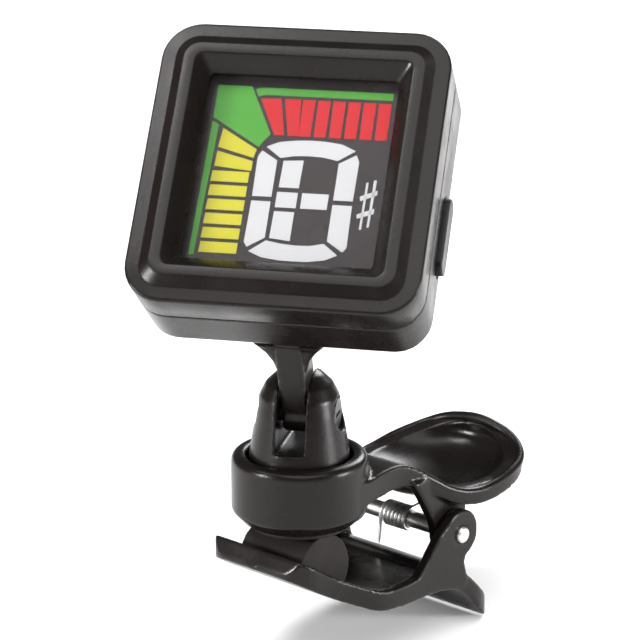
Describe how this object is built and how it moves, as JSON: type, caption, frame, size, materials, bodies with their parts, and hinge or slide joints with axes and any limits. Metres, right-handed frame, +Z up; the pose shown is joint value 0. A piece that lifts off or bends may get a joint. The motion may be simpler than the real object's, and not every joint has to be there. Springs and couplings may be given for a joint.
{
  "type": "clip-on tuner",
  "caption": "Clip-on instrument tuner: square colour display on a tilting neck and swivel bell above a sprung clip with rubber grip pads and thumb levers.",
  "frame": {"origin": "grip point between the two rubber pads, on the swivel's vertical axis", "axes": "+Z up along the swivel axis, +X from the jaw's tip towards the thumb levers, +Y along the clip's hinge pin"},
  "size_m": [0.0666, 0.0508, 0.0908],
  "materials": {
    "black_case": "satin moulded",
    "grip_rubber": "matte",
    "pin_steel": "turned, bright",
    "spring_steel": "drawn wire",
    "screw_steel": "blackened",
    "screw_black": "black oxide",
    "clear_window": "polished",
    "lcd_glass": "polished",
    "light_guide": "frosted",
    "connector_rubber": "matte",
    "board": "solder mask",
    "chip_resin": "resin",
    "can_steel": "plated",
    "sensor_brass": "rolled",
    "switch_plastic": "moulded",
    "button_black": "satin moulded",
    "contact_metal": "plated spring strip"
  },
  "bodies": {
    "upper_jaw": {"upper_lever": "black_case", "upper_pad": "grip_rubber", "torsion_spring": "spring_steel"},
    "lower_jaw": {"lower_lever": "black_case", "lower_pad": "grip_rubber", "hinge_pin": "pin_steel"},
    "swivel": {"swivel_bell": "black_case", "swivel_washer": "spring_steel", "swivel_screw": "screw_steel", "tilt_screw": "screw_steel", "tilt_nut": "screw_steel"},
    "head": {"front_case": "black_case", "rear_case": "black_case", "display_window": "clear_window", "lcd_panel": "lcd_glass", "backlight_panel": "light_guide", "zebra_connector": "connector_rubber", "circuit_board": "board", "controller_chip": "chip_resin", "quartz_crystal": "can_steel", "piezo_disc": "sensor_brass", "tact_switch": "switch_plastic", "coin_cell": "can_steel", "positive_contact": "contact_metal", "negative_contact": "contact_metal", "case_screws": "screw_black"},
    "power_button": {"power_button": "button_black", "switch_plunger": "switch_plastic"},
    "battery_door": {"battery_door": "black_case"}
  },
  "joints": [
    {"name": "jaw_hinge", "type": "hinge", "parent": "upper_jaw", "child": "lower_jaw", "pos_m": [0.022, 0, -0.005], "axis": [0, -1, 0], "range_deg": [0, 35], "stiffness_Nm_per_rad": 0.12, "springref_deg": -57.3, "deforming": ["torsion_spring"]},
    {"name": "swivel_turn", "type": "hinge", "parent": "upper_jaw", "child": "swivel", "pos_m": [0, 0, 0.0169], "axis": [0, 0, 1], "continuous": true},
    {"name": "head_tilt", "type": "hinge", "parent": "swivel", "child": "head", "pos_m": [0, 0, 0.0169], "axis": [0.4886, -0.8725, 0], "range_deg": [-50.5, 39.5]},
    {"name": "door_hinge", "type": "hinge", "parent": "head", "child": "battery_door", "pos_m": [0.00222, 0.00125, 0.04059], "axis": [-0.4886, 0.8725, 0], "range_deg": [0, 70]},
    {"name": "button_press", "type": "slide", "parent": "head", "child": "power_button", "axis": [-0.4886, 0.8725, 0], "range_m": [0, 0.0006], "stiffness_N_per_m": 500, "springref_m": -0.0004}
  ]
}
